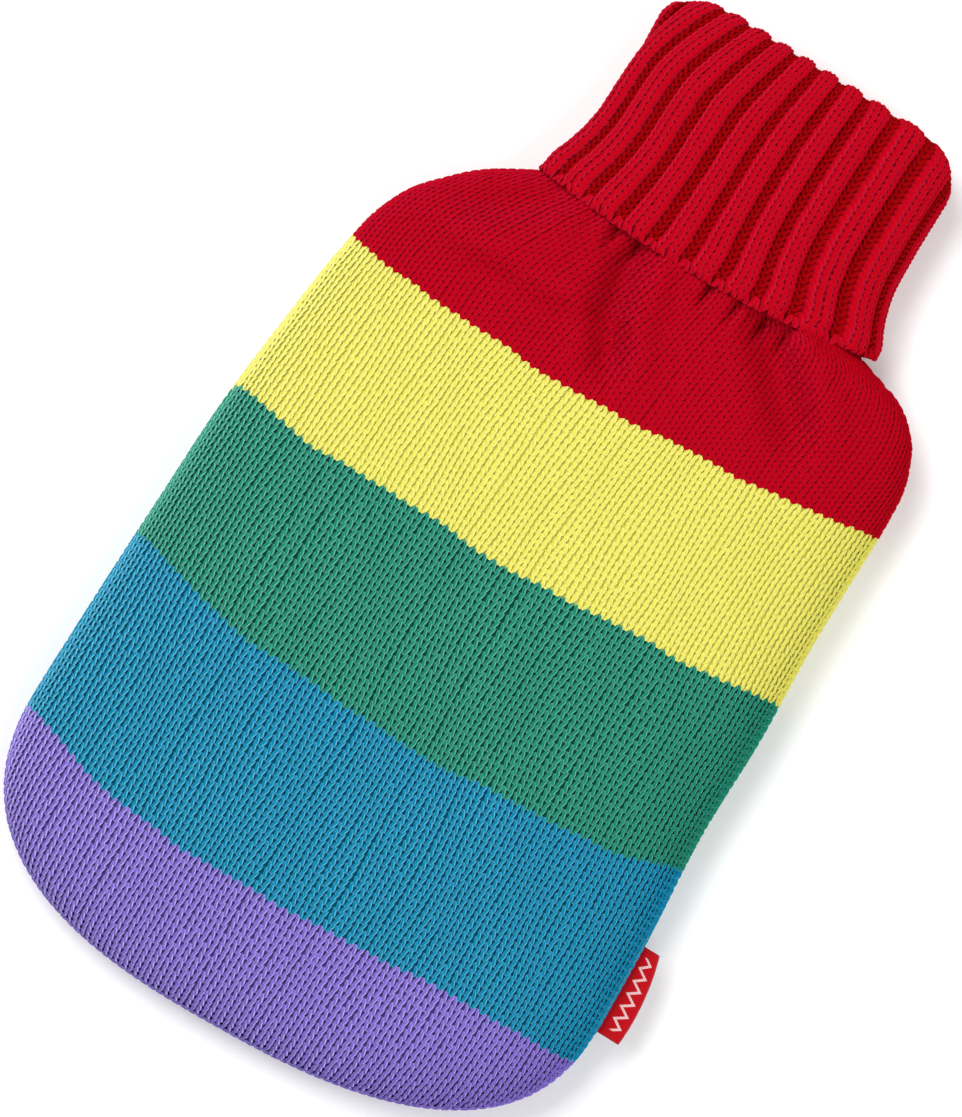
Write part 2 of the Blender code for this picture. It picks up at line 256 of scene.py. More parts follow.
def beside_label(x, y):
    """1 beside the label's caught ends, easing to 0 above and below them, and 0 on the left."""
    beside = window(y, LABEL_BOTTOM - LABEL_MARGIN, LABEL_TOP + LABEL_MARGIN, LABEL_EASE)
    return np.where(x > 0, beside, 0.0)


def bag_spot(across, along, inset, face):
    """Points of a panel: across from -1 to 1, along from 0 at the neck to 1 at the bottom seam."""
    neck_y, turn_y = BAG[0].y, BAG[-1].y
    left, right = BAG[-1].left + inset, BAG[-1].right - inset
    widest_x = (left + right) / 2 + (right - left) / 2 * across
    reach = BOTTOM_REACH + BOTTOM_SLANT * widest_x + inset
    depth = turn_y - reach
    arch = np.maximum(0.0, 1 - np.abs(across) ** BOTTOM_POWER) ** (1 / BOTTOM_POWER)
    y = neck_y + along * (turn_y - depth * arch - neck_y)
    left, right = smooth(BAG, "left", y) + inset, smooth(BAG, "right", y) - inset
    x = (left + right) / 2 + (right - left) / 2 * across
    past_turn = np.maximum(0.0, turn_y - y) / depth
    m = (np.abs(across) ** BOTTOM_POWER + past_turn ** BOTTOM_POWER) ** (1 / BOTTOM_POWER)
    m = np.where(along >= 1, 1.0, np.minimum(1.0, m))
    seam = smooth(BAG, "seam", y)
    half_gap = (SEAM_GAP + (LABEL_PARTING - SEAM_GAP) * beside_label(x, y)) / 2
    if face == FRONT:
        lift = smooth(BAG, "front", y) - inset - seam + fold_relief(x, y)
        z = seam + half_gap + (lift - half_gap) * section(m)
    else:
        drop = seam - smooth(BAG, "back", y) - inset
        z = np.maximum(inset, seam - half_gap - (drop - half_gap) * section(m))
    return np.column_stack([x, y, z])


def travelled(share, bulge):
    """How far the cloth has come over a section that bulges up, at a share of its half width."""
    steps = np.linspace(0.0, 1.0, BULGE_STEPS)
    lengths = np.hypot(np.diff(steps), np.diff(section(steps)) * bulge)
    return np.interp(share, steps, np.concatenate([[0.0], np.cumsum(lengths)]))


def spread_out(across, x, y, bulge):
    """Where a place lies on the flat cloth: its share of the half width, and its height.

    Over the bulge the cloth goes further than it looks from above, straight out to its seam.
    """
    depth = BAG[-1].y - BOTTOM_REACH - BOTTOM_SLANT * x
    past = np.clip((BAG[-1].y - y) / depth, 0.0, 1.0)
    out = (np.abs(across) ** BOTTOM_POWER + past ** BOTTOM_POWER) ** (1 / BOTTOM_POWER)
    out = np.clip(out, 1 / BULGE_STEPS, 1.0)
    steep = bulge * (BAG[-1].right - BAG[-1].left) / 2 / BAG[-1].y
    share = across * travelled(out, bulge) / out / travelled(1.0, bulge)
    return share, y - depth * past * (travelled(out, steep) / out - 1)


def wale_at(way, y):
    """Which wale runs through a place: all lie evenly over the bulge, and some end at the seam."""
    width = smooth(BAG, "right", y) - smooth(BAG, "left", y)
    kept = (width / (BAG[-1].right - BAG[-1].left)) ** WALES_ENDED
    return (1 + way * kept) / 2 * WALES


def course_at(x, y):
    """Which course runs through a place on the flat cloth, counted from the bottom seam up."""
    course = np.zeros_like(x)
    lower = smooth_curve(EDGE_PLACES, STRIPES[0].top, x) - VIOLET_DEPTH
    for stripe in STRIPES:
        upper = smooth_curve(EDGE_PLACES, stripe.top, x)
        course += stripe.courses * np.clip((y - lower) / (upper - lower), 0.0, 1.0)
        lower = upper
    return course


def crowded(t, ends):
    """Moves even steps from 0 to 1 closer together towards both ends."""
    return (1 - ends) * t + ends * (1 - np.cos(np.pi * t)) / 2


def laid_grid(name, columns, rows, place):
    """A grid laid out by place(u, v), which gives its points and its UV map of wales, courses."""
    mesh = bpy.data.meshes.new(name)
    shape = bmesh.new()
    bmesh.ops.create_grid(shape, x_segments=columns, y_segments=rows, size=0.5)
    shape.to_mesh(mesh)
    shape.free()
    flat = np.zeros(len(mesh.vertices) * 3)
    mesh.vertices.foreach_get("co", flat)
    flat = flat.reshape(-1, 3) + 0.5
    spots, counts = place(flat[:, 0], flat[:, 1])
    mesh.vertices.foreach_set("co", ((spots + SHIFT) * MM).ravel())
    corners = np.zeros(len(mesh.loops), np.int32)
    mesh.loops.foreach_get("vertex_index", corners)
    knit = mesh.uv_layers.new(name="knit")
    knit.data.foreach_set("uv", counts[corners].ravel())
    mesh.shade_smooth()
    piece = bpy.data.objects.new(name, mesh)
    bpy.context.scene.collection.objects.link(piece)
    return piece


def panel_grid(name, face, bulge, inset, grid):
    """One face of a panel as a grid that faces outwards."""
    def place(u, v):
        across = face * (2 * crowded(u, CROWDED_SIDES) - 1)
        spots = bag_spot(across, crowded(1 - v, CROWDED_ENDS), inset, face)
        way, flat_y = spread_out(face * across, spots[:, 0], spots[:, 1], bulge)
        wale, course = wale_at(way, spots[:, 1]), course_at(spots[:, 0], flat_y)
        free = (1 - np.abs(across) ** DRIFT_HELD) * (1 - (1 - v) ** DRIFT_HELD)
        wale, course = (wale + free * drifted(WALE_DRIFTS, wale, course),
                        course + free * drifted(COURSE_DRIFTS, wale, course))
        return spots, np.column_stack([wale / WALES, course / COURSES])
    return laid_grid(name, *grid, place)


def thickened(piece, thickness):
    """Gives a sheet its thickness, inwards from the face that it was laid out on."""
    solid = piece.modifiers.new("thickness", "SOLIDIFY")
    solid.thickness = thickness * MM
    solid.offset = -1.0


class Socket:
    """One output of a node. Arithmetic on it, with numbers or other sockets, adds Math nodes."""

    def __init__(self, tree, output):
        self.tree = tree
        self.output = output

    def math(self, operation, *others):
        values = dict(enumerate((self, *others)))
        return self.tree.node("ShaderNodeMath", {"operation": operation}, values)["Value"]

    def __add__(self, other):
        return self.math("ADD", other)

    def __sub__(self, other):
        return self.math("SUBTRACT", other)

    def __rsub__(self, other):
        return self.math("MULTIPLY_ADD", -1.0, other)

    def __mul__(self, other):
        return self.math("MULTIPLY", other)

    def __truediv__(self, other):
        return self.math("DIVIDE", other)

    def __rtruediv__(self, other):
        return self.math("POWER", -1.0) * other

    def __mod__(self, other):
        return self.math("FLOORED_MODULO", other)

    def __gt__(self, other):
        return self.math("GREATER_THAN", other)

    __radd__ = __add__
    __rmul__ = __mul__


class Tree:
    """A node tree of a material or of a modifier, which node() adds to."""

    def __init__(self, tree):
        self.tree = tree

    def feed(self, value, entry):
        """Links a Socket to an input of another node."""
        self.tree.links.new(value.output, entry)

    def node(self, kind, settings=None, sockets=None):
        """Adds a node: its settings first, then a value or a Socket for each of its inputs.

        Gives its outputs by name, the first of them where two share one.
        """
        made = self.tree.nodes.new(kind)
        for name, value in (settings or {}).items():
            setattr(made, name, value)
        for name, value in (sockets or {}).items():
            usable = [entry for entry in made.inputs if entry.enabled]
            index = name if isinstance(name, int) else [entry.name for entry in usable].index(name)
            if isinstance(value, Socket):
                self.feed(value, usable[index])
            else:
                usable[index].default_value = value
        outputs = [output for output in made.outputs if output.enabled]
        return {output.name: Socket(self, output) for output in reversed(outputs)}


def new_material(name, roughness, sheen):
    """A plain dull shader of cloth or thread, and its tree to build on."""
    material = bpy.data.materials.new(name)
    material.use_nodes = True
    shader = material.node_tree.nodes["Principled BSDF"]
    shader.inputs["Roughness"].default_value = roughness
    shader.inputs["Specular IOR Level"].default_value = SPECULAR
    shader.inputs["Sheen Weight"].default_value = sheen
    shader.inputs["Sheen Roughness"].default_value = SHEEN_ROUGHNESS
    return material, Tree(material.node_tree), shader


def ground_material(name, bands, wales, courses):
    """The ground of the knitting behind the stitches, coloured with painted shade: the yarn's
    colour as it looks in the shaded gaps between them.

    bands are these painted-shade colours from the bottom up, each with the course that it ends at.
    """
    material, tree, shader = new_material(name, GROUND_ROUGHNESS, sheen=0.0)
    knit = tree.node("ShaderNodeUVMap", {"uv_map": "knit"})["UV"]
    way = tree.node("ShaderNodeSeparateXYZ", sockets={"Vector": knit})
    wale, course = way["X"] * wales, way["Y"] * courses
    colour = (*bands[0][0], 1.0)
    for (_, end), (above, _) in zip(bands, bands[1:]):
        next_colour = (*above, 1.0)
        sockets = {"Factor": course > end, "A": colour, "B": next_colour}
        colour = tree.node("ShaderNodeMix", {"data_type": "RGBA"}, sockets)["Result"]
    ridge = (wale * math.tau).math("SINE") * (course * math.tau).math("SINE")
    spot = tree.node("ShaderNodeTexCoord")["Object"]
    grain = tree.node("ShaderNodeTexNoise", sockets={
        "Vector": spot, "Scale": GRAIN_SCALE, "Detail": GRAIN_DETAIL})["Fac"]
    normal = tree.node("ShaderNodeBump", sockets={
        "Height": ridge + grain, **GROUND_BUMP})["Normal"]
    tree.feed(normal, shader.inputs["Normal"])
    grey = tree.node("ShaderNodeCombineColor", sockets={
        "Red": grain, "Green": grain, "Blue": grain})["Color"]
    flecked = tree.node("ShaderNodeMix", {"data_type": "RGBA", "blend_type": "MULTIPLY"}, {
        "Factor": GRAIN_FLECK, "A": colour, "B": grey})["Result"]
    tree.feed(flecked, shader.inputs["Base Color"])
    return material


def shaded(colour, keeps):
    """A yarn's colour as painted shade: it keeps this share, and is deeper in hue (a share over 1
    can make it brighter).
    """
    return tuple(keeps * part ** GROUND_DEPTH for part in colour)


def band_ends():
    """The stripes' ground colours, their painted shade, from the bottom up, each with the course
    that it ends at.
    """
    ends = np.cumsum([stripe.courses for stripe in STRIPES])
    return [
        (shaded(stripe.colour, stripe.ground), float(end)) for stripe, end in zip(STRIPES, ends)]


# The ground's colours are painted shade of the gaps between the stitches
stripe_ground = ground_material("stripe_ground", band_ends(), WALES, COURSES)
front_cloth = panel_grid("front_cloth", FRONT, BULGE_FRONT, CLOTH_INSET, CLOTH_GRID)
thickened(front_cloth, CLOTH_THICKNESS)
front_cloth.data.materials.append(stripe_ground)
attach(front_cloth, "root")
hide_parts("front_panel")

# ----------------------------------------------------------------------------------------------
# The back panel's cloth: the same knitting, which lies flat on the surface under the bottle and
# turns up at its sides to meet the front.
# ----------------------------------------------------------------------------------------------

BULGE_BACK = 0.138
BACK_CLOTH_INSET = 1.6
BACK_CLOTH_GRID = (56, 66)

back_cloth = panel_grid("back_cloth", BACK, BULGE_BACK, BACK_CLOTH_INSET, BACK_CLOTH_GRID)
thickened(back_cloth, CLOTH_THICKNESS)
back_cloth.data.materials.append(stripe_ground)
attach(back_cloth, "root")
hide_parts("back_panel")

# ----------------------------------------------------------------------------------------------
# The stitches of both panels: soft two-ply yarn in five colours. Each stitch shows as a V, whose
# two legs come out of the stitch below, lean outwards and turn in behind the stitch above.
# ----------------------------------------------------------------------------------------------

# Of a stitch's leg: how far its foot and its head stand from the wale's middle, in wales, how long
# it is, in courses, what share of it lies below the stitch's middle, and how high it rises and how
# deep its ends sink, in millimetres
LEG_FOOT = 0.152
LEG_HEAD = 0.338
LEG_REACH = 1.40
LEG_BELOW = 0.45
LEG_LIFT = 0.22
LEG_SINK = 0.42
END_TAPER = 0.72
YARN_HALF_RISE = 0.56
YARN_SIDES = 4
# How far single stitches and whole wales stray, in stitches
STITCH_JITTER = 0.04
WALE_JITTER = 0.03
WALE_SEED = 5
# What reaches over the sheet's edge is drawn back to the farthest of these shares that is on it
DRAWN_BACK = (0.35, 0.65, 0.85, 1.0)

# The yarn: two plies that wind round it, and fibres that lie slantwise along it
YARN_ROUGHNESS = 0.85
YARN_SHEEN = 0.25
PLIES = 2
PLY_TWIST = 1.5
FIBRES_ALONG = 3.0
FIBRES_SLANT = 4.0
FIBRES_ROUND = 26.0
FIBRE_DETAIL = 3.0
FIBRE_ROUGHNESS = 0.6
# What makes it pale or deep, about a middle tone: painted light on its crown and painted shade on
# its sides and ends, its plies and its fibres; and how far the painted highlight brightens it
MIDDLE_TONE = 0.36
CROWN_TONE = 0.68
PLY_TONE = 0.08
FIBRE_TONE = 0.45
YARN_PALE = 1.14
PLY_BUMP = 0.6
YARN_BUMP = {"Strength": 0.35, "Distance": 0.0002}

# What the tree of stitches is given: the sheet, its counts, its sizes and the yarn
STITCH_INPUTS = {
    "NodeSocketGeometry": ("Geometry",),
    "NodeSocketInt": ("Columns", "Rows", "Together", "Leg Steps", "Yarn Sides", "Seed"),
    "NodeSocketFloat": (
        "Group Pitch", "First Wale", "First Course", "Wale Width", "Map Wales", "Map Courses",
        "Foot", "Head", "Reach", "Lift", "Sink", "Yarn Half Width", "Yarn Half Rise",
        "Jitter", "Wale Jitter"),
    "NodeSocketMaterial": ("Yarn",),
}


def stitch_tree():
    """The nodes that cover a sheet with stitches, placed by its UV map of wales and courses."""
    group = bpy.data.node_groups.new("knit_stitches", "GeometryNodeTree")
    for kind, names in STITCH_INPUTS.items():
        for name in names:
            group.interface.new_socket(name, in_out="INPUT", socket_type=kind)
    group.interface.new_socket("Geometry", in_out="OUTPUT", socket_type="NodeSocketGeometry")
    tree = Tree(group)
    given = tree.node("NodeGroupInput")

    # One point for each stitch, in knitting space: X counts wales and Y counts courses
    index = tree.node("GeometryNodeInputIndex")["Index"]
    column = index % given["Columns"]
    row = ((index + 0.5) / given["Columns"]).math("FLOOR")
    in_group = column % given["Together"]
    groups_before = ((column + 0.5) / given["Together"]).math("FLOOR")
    across = given["First Wale"] + groups_before * given["Group Pitch"]
    across = across + (in_group + 0.5) * given["Wale Width"]
    shake = tree.node("FunctionNodeRandomValue", {"data_type": "FLOAT_VECTOR"}, {
        "Min": (-1.0, -1.0, -1.0), "Max": (1.0, 1.0, 1.0), "ID": index, "Seed": given["Seed"]})
    shaken = tree.node("ShaderNodeSeparateXYZ", sockets={"Vector": shake["Value"]})
    sway = tree.node("FunctionNodeRandomValue", {"data_type": "FLOAT"}, {
        "Min": -1.0, "Max": 1.0, "ID": column, "Seed": WALE_SEED})["Value"]
    sideways = shaken["X"] * given["Jitter"] + sway * given["Wale Jitter"]
    across = across + sideways * given["Wale Width"]
    up = given["First Course"] + row + 0.5 + shaken["Y"] * given["Jitter"]
    spot = tree.node("ShaderNodeCombineXYZ", sockets={"X": across, "Y": up})["Vector"]
    points = tree.node("GeometryNodePoints", sockets={
        "Count": given["Columns"] * given["Rows"], "Position": spot})["Points"]

    # The two legs of one stitch, each a short swept tube with a UV map along and round it
    legs = []
    for side in (1.0, -1.0):
        line = tree.node("GeometryNodeCurvePrimitiveLine")["Curve"]
        line = tree.node("GeometryNodeResampleCurve", sockets={
            "Curve": line, "Count": given["Leg Steps"] + 1})["Curve"]
        t = tree.node("GeometryNodeSplineParameter")["Factor"]
        arch = (t * math.pi).math("SINE")
        outward = given["Foot"] + (given["Head"] - given["Foot"]) * (t * t * (3 - 2 * t))
        path = tree.node("ShaderNodeCombineXYZ", sockets={
            "X": outward * given["Wale Width"] * side,
            "Y": (t - LEG_BELOW) * given["Reach"],
            "Z": (given["Lift"] + given["Sink"]) * arch - given["Sink"]})["Vector"]
        line = tree.node("GeometryNodeCaptureAttribute", sockets={"Geometry": line})
        line = tree.node("GeometryNodeSetPosition", sockets={
            "Geometry": line["Geometry"], "Position": path})["Geometry"]
        line = tree.node("GeometryNodeSetCurveNormal", {"mode": "Z_UP"}, {"Curve": line})["Curve"]
        line = tree.node("GeometryNodeSetCurveRadius", sockets={
            "Curve": line, "Radius": END_TAPER + (1 - END_TAPER) * arch})["Curve"]
        line = tree.node("GeometryNodeStoreNamedAttribute", {"domain": "POINT"}, {
            "Geometry": line, "Name": "along", "Value": t})["Geometry"]
        ring = tree.node("GeometryNodeCurvePrimitiveCircle", sockets={
            "Resolution": given["Yarn Sides"], "Radius": 1.0})["Curve"]
        ring = tree.node("GeometryNodeStoreNamedAttribute", {"domain": "POINT"}, {
            "Geometry": ring, "Name": "around",
            "Value": tree.node("GeometryNodeSplineParameter")["Factor"]})["Geometry"]
        scale = tree.node("ShaderNodeCombineXYZ", sockets={
            "X": given["Yarn Half Width"] * given["Wale Width"],
            "Y": given["Yarn Half Rise"], "Z": 1.0})["Vector"]
        ring = tree.node("GeometryNodeTransform", sockets={
            "Geometry": ring, "Scale": scale})["Geometry"]
        leg = tree.node("GeometryNodeCurveToMesh", sockets={
            "Curve": line, "Profile Curve": ring, "Fill Caps": True})["Mesh"]
        legs.append(leg)
    stitch = tree.node("GeometryNodeJoinGeometry", sockets={"Geometry": legs[0]})["Geometry"]
    tree.feed(legs[1], stitch.output.node.inputs["Geometry"])
    along = tree.node("GeometryNodeInputNamedAttribute", sockets={"Name": "along"})["Attribute"]
    around = tree.node("GeometryNodeInputNamedAttribute", sockets={"Name": "around"})["Attribute"]
    unrolled = tree.node("ShaderNodeCombineXYZ", sockets={"X": along, "Y": around})["Vector"]
    stitch = tree.node("GeometryNodeStoreNamedAttribute", {
        "domain": "CORNER", "data_type": "FLOAT2"}, {
            "Geometry": stitch, "Name": "OFBake", "Value": unrolled})["Geometry"]
    for name in ("along", "around"):
        stitch = tree.node("GeometryNodeRemoveAttribute", sockets={
            "Geometry": stitch, "Name": name})["Geometry"]

    # Stitches whose middle is off the sheet go, and what reaches over its edge is drawn back in
    place = tree.node("GeometryNodeInputPosition")["Position"]
    knit = tree.node("GeometryNodeInputNamedAttribute", {"data_type": "FLOAT_VECTOR"}, {
        "Name": "knit"})["Attribute"]
    per_map = tree.node("ShaderNodeCombineXYZ", sockets={
        "X": 1 / given["Map Wales"], "Y": 1 / given["Map Courses"]})["Vector"]

    def on_map(position):
        return tree.node("ShaderNodeVectorMath", {"operation": "MULTIPLY"}, {
            0: position, 1: per_map})["Vector"]

    def sampled(value, position):
        return tree.node("GeometryNodeSampleUVSurface", {"data_type": "FLOAT_VECTOR"}, {
            "Mesh": given["Geometry"], "Value": value, "UV Map": knit, "Sample UV": position})

    middle_valid = sampled(place, on_map(place))["Is Valid"]
    outside = tree.node("FunctionNodeBooleanMath", {"operation": "NOT"}, {0: middle_valid})
    points = tree.node("GeometryNodeDeleteGeometry", sockets={
        "Geometry": points, "Selection": outside["Boolean"]})["Geometry"]
    points = tree.node("GeometryNodeStoreNamedAttribute", {
        "domain": "POINT", "data_type": "FLOAT_VECTOR"}, {
            "Geometry": points, "Name": "middle", "Value": place})["Geometry"]
    placed = tree.node("GeometryNodeInstanceOnPoints", sockets={
        "Points": points, "Instance": stitch})["Instances"]
    placed = tree.node("GeometryNodeRealizeInstances", sockets={"Geometry": placed})["Geometry"]
    middle = tree.node("GeometryNodeInputNamedAttribute", {"data_type": "FLOAT_VECTOR"}, {
        "Name": "middle"})["Attribute"]
    chosen = on_map(middle)
    for share in DRAWN_BACK:
        nearer = tree.node("ShaderNodeMix", {"data_type": "VECTOR"}, {
            "Factor": share, "A": middle, "B": place})["Result"]
        nearer = on_map(nearer)
        valid = sampled(place, nearer)["Is Valid"]
        chosen = tree.node("GeometryNodeSwitch", {"input_type": "VECTOR"}, {
            "Switch": valid, "False": chosen, "True": nearer})["Output"]
    normal = tree.node("GeometryNodeInputNormal")["Normal"]
    surface = sampled(place, chosen)["Value"]
    outwards = sampled(normal, chosen)["Value"]
    height = tree.node("ShaderNodeSeparateXYZ", sockets={"Vector": place})["Z"]
    raised = tree.node("ShaderNodeVectorMath", {"operation": "SCALE"}, {
        "Vector": outwards, "Scale": height})["Vector"]
    final = tree.node("ShaderNodeVectorMath", {"operation": "ADD"}, {
        0: surface, 1: raised})["Vector"]
    placed = tree.node("GeometryNodeSetPosition", sockets={
        "Geometry": placed, "Position": final})["Geometry"]
    placed = tree.node("GeometryNodeRemoveAttribute", sockets={
        "Geometry": placed, "Name": "middle"})["Geometry"]
    placed = tree.node("GeometryNodeSetShadeSmooth", sockets={"Geometry": placed})["Geometry"]
    placed = tree.node("GeometryNodeSetMaterial", sockets={
        "Geometry": placed, "Material": given["Yarn"]})["Geometry"]
    tree.node("NodeGroupOutput", sockets={"Geometry": placed})
    return group


def knitted(guide, group, inputs):
    """Turns a guide sheet into the plain mesh of the stitches that cover it."""
    modifier = guide.modifiers.new("stitches", "NODES")
    modifier.node_group = group
    for item in group.interface.items_tree:
        if item.in_out == "INPUT" and item.name in inputs:
            modifier[item.identifier] = inputs[item.name]
    graph = bpy.context.evaluated_depsgraph_get()
    mesh = bpy.data.meshes.new_from_object(
        guide.evaluated_get(graph), preserve_all_data_layers=True, depsgraph=graph)
    guide.modifiers.remove(modifier)
    flat = guide.data
    guide.data = mesh
    bpy.data.meshes.remove(flat)
    mesh.name = guide.name


def yarn_material(name, colour, deep, bloom, sheen):
    """Soft two-ply yarn: its plies wind round it, painted light makes its crown paler and painted
    shade its sides and ends deeper.
    """
    material, tree, shader = new_material(name, YARN_ROUGHNESS, sheen)
    shader.inputs["Sheen Tint"].default_value = (*(part / max(colour) for part in colour), 1.0)
    map_node = tree.node("ShaderNodeUVMap", {"uv_map": "OFBake"})["UV"]
    way = tree.node("ShaderNodeSeparateXYZ", sockets={"Vector": map_node})
    plies = ((way["X"] * PLY_TWIST + way["Y"]) * (PLIES * math.tau)).math("SINE")
    stretched = tree.node("ShaderNodeCombineXYZ", sockets={
        "X": way["X"] * FIBRES_ALONG + way["Y"] * FIBRES_SLANT,
        "Y": way["Y"] * FIBRES_ROUND})["Vector"]
    fibre = tree.node("ShaderNodeTexNoise", sockets={
        "Vector": stretched, "Scale": 1.0, "Detail": FIBRE_DETAIL,
        "Roughness": FIBRE_ROUGHNESS})["Fac"]
    # Painted light and shade: each leg's crown is paler and its sides and ends deeper; the pale
    # end of the mix is a painted highlight, brightened and whitened
    crown = (way["Y"] * math.tau).math("SINE") * (way["X"] * math.pi).math("SINE")
    tone = crown * CROWN_TONE + plies * PLY_TONE + (fibre - 0.5) * FIBRE_TONE + MIDDLE_TONE
    deep = (*shaded(colour, deep), 1.0)
    pale = tuple(min(1.0, part * YARN_PALE + bloom) for part in colour) + (1.0,)
    mixed = tree.node("ShaderNodeMix", {"data_type": "RGBA"}, {
        "Factor": tone, "A": deep, "B": pale})["Result"]
    tree.feed(mixed, shader.inputs["Base Color"])
    height = plies * PLY_BUMP + fibre
    normal = tree.node("ShaderNodeBump", sockets={"Height": height, **YARN_BUMP})["Normal"]
    tree.feed(normal, shader.inputs["Normal"])
    return material


STITCHES = {
    "Columns": WALES, "Together": WALES, "Group Pitch": 1.0, "First Wale": 0.0,
    "Wale Width": 1.0, "Map Wales": float(WALES), "Map Courses": float(COURSES),
    "Foot": LEG_FOOT, "Head": LEG_HEAD, "Reach": LEG_REACH,
    "Lift": LEG_LIFT * MM, "Sink": LEG_SINK * MM,
    "Yarn Half Rise": YARN_HALF_RISE * MM,
    "Yarn Sides": YARN_SIDES, "Jitter": STITCH_JITTER, "Wale Jitter": WALE_JITTER,
}
stitches = stitch_tree()
front_yarns, back_yarns = [], []
Side = namedtuple("Side", "name face bulge inset grid leg_steps yarns")
SIDES = (
    Side("front", FRONT, BULGE_FRONT, 0.7, (192, 120), 3, front_yarns),
    Side("back", BACK, BULGE_BACK, 1.05, (96, 120), 2, back_yarns),
)
yarns_by_name = {}
first = 0
for seed, stripe in enumerate(STRIPES):
    yarn = yarn_material(
        f"{stripe.name}_yarn", stripe.colour, stripe.deep, stripe.bloom, YARN_SHEEN)
    yarns_by_name[stripe.name] = yarn
    for side in SIDES:
        piece = panel_grid(
            f"{side.name}_{stripe.name}_yarn", side.face, side.bulge, side.inset, side.grid)
        knitted(piece, stitches, {
            **STITCHES, "Rows": stripe.courses, "First Course": float(first), "Seed": seed,
            "Yarn": yarn, "Yarn Half Width": stripe.yarn, "Leg Steps": side.leg_steps})
        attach(piece, "root")
        side.yarns.append(piece)
    first += stripe.courses

# ----------------------------------------------------------------------------------------------
# The linking: a chain of the stripes' own yarns that joins the front panel's edge to the back's,
# down one side, round the bottom and up the other. It passes over the label's caught ends.
# ----------------------------------------------------------------------------------------------

# How far the chain lies in from the edge and stands out from there, and its half width and pitch
LINK_INSET = 0.9
LINK_OUT = 0.05
LINK_HALF_WIDTH = 1.7
LINK_PITCH = 2.9
LINK_OVER_LABEL = 1.6
# It starts just below the collar's hem
LINK_FROM = 276.5
LINK_STEPS = 400
LINK_AHEAD = 1.0
LINK_SEED = 20


def linked_edge():
    """The joined edge's points from the neck's left round to its right, and the way along it."""
    down = np.linspace((BAG[0].y - LINK_FROM) / (BAG[0].y - BAG[-1].y), 1.0, LINK_STEPS)
    over = np.linspace(-1.0, 1.0, 2 * LINK_STEPS)[1:-1]
    ones = np.ones(LINK_STEPS)
    line = np.concatenate([
        bag_spot(-ones, down, LINK_INSET, FRONT),
        bag_spot(over, np.ones_like(over), LINK_INSET, FRONT),
        bag_spot(ones, down[::-1], LINK_INSET, FRONT)])
    line[:, 2] += LINK_OVER_LABEL * beside_label(line[:, 0], line[:, 1])
    steps = np.linalg.norm(np.diff(line, axis=0), axis=1)
    return line, np.concatenate([[0.0], np.cumsum(steps)])


edge_line, edge_way = linked_edge()
LINKS = round(edge_way[-1] / LINK_PITCH)


def on_edge(way):
    """The points of the joined edge at some ways along it."""
    return np.column_stack([np.interp(way, edge_way, edge_line[:, k]) for k in range(3)])


def link_grid(name):
    """A narrow band along the joined edge, which faces outwards."""
    def place(u, v):
        way = v * edge_way[-1]
        spot = on_edge(way)
        ahead = (on_edge(way + LINK_AHEAD) - on_edge(way - LINK_AHEAD))[:, :2]
        ahead /= np.linalg.norm(ahead, axis=1)[:, None]
        spot[:, 0] += LINK_OUT * ahead[:, 1]
        spot[:, 1] -= LINK_OUT * ahead[:, 0]
        spot[:, 2] -= LINK_HALF_WIDTH * (2 * u - 1)
        return spot, np.column_stack([u, v])
    return laid_grid(name, columns=2, rows=LINKS, place=place)


def link_at(side, y):
    """Which link of the chain lies at a height, on the left with side 0 or on the right with 1."""
    half = edge_way <= edge_way[-1] / 2 if side == 0 else edge_way > edge_way[-1] / 2
    order = np.argsort(edge_line[half, 1])
    way = np.interp(y, edge_line[half, 1][order], edge_way[half][order])
    return round(way / edge_way[-1] * LINKS)


IN_LINKS = {
    **STITCHES, "Columns": 1, "Together": 1, "Map Wales": 1.0, "Map Courses": float(LINKS),
    "Foot": 0.06, "Head": 0.30, "Reach": 1.5, "Lift": 0.25 * MM, "Sink": 0.35 * MM,
    "Yarn Half Width": 0.17, "Leg Steps": 3, "Wale Jitter": 0.0}
for seed, stripe in enumerate(STRIPES, LINK_SEED):
    # The chain changes colour where the stripe's upper edge meets it, at its first and last place
    top = [link_at(side, stripe.top[-side]) for side in (0, 1)]
    if stripe is STRIPES[0]:
        runs = [("round", top[0], top[1])]
    else:
        runs = [("left", top[0], below[0]), ("right", below[1], top[1])]
    below = top
    for side, start, end in runs:
        piece = link_grid(f"{side}_{stripe.name}_link")
        knitted(piece, stitches, {
            **IN_LINKS, "Rows": end - start, "First Course": float(start), "Seed": seed,
            "Yarn": yarns_by_name[stripe.name]})
        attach(piece, "root")
        front_yarns.append(piece)

# ----------------------------------------------------------------------------------------------
# The collar's cloth: one deep ribbed tube, knitted on from the neck edge. It goes up as a wall,
# folds over at the mouth and comes down outside itself as a loose cuff.
# ----------------------------------------------------------------------------------------------

Ring = namedtuple("Ring", "y left right rise")
CUFF = (
    Ring(276.0, -58.0, 69.5, 18.2),
    Ring(283.0, -55.0, 67.2, 17.6),
    Ring(291.0, -51.8, 62.8, 16.6),
    Ring(300.0, -49.6, 59.8, 15.9),
    Ring(315.0, -49.0, 58.5, 15.5),
    Ring(330.0, -48.4, 58.3, 15.5),
    Ring(352.0, -47.6, 58.3, 15.5),
)
COLLAR_SIDE_Z = 15.5
COLLAR_SINK = 0.6
RIBS_AROUND = 22
RIB_RELIEF = 1.6
RIB_WEB = 1.6
RIB_FLANK = 0.28
RIB_WIDTH = 0.84
LAYER_GAP = 1.0
HEM_MIDDLE = 275.4
HEM_TILT = 2.25
HEM_BOW = 5.35
HEM_SCALLOP = 0.9
FOLD_MIDDLE = 350.2
FOLD_DROP_LEFT = 14.0
FOLD_DROP_RIGHT = 12.0
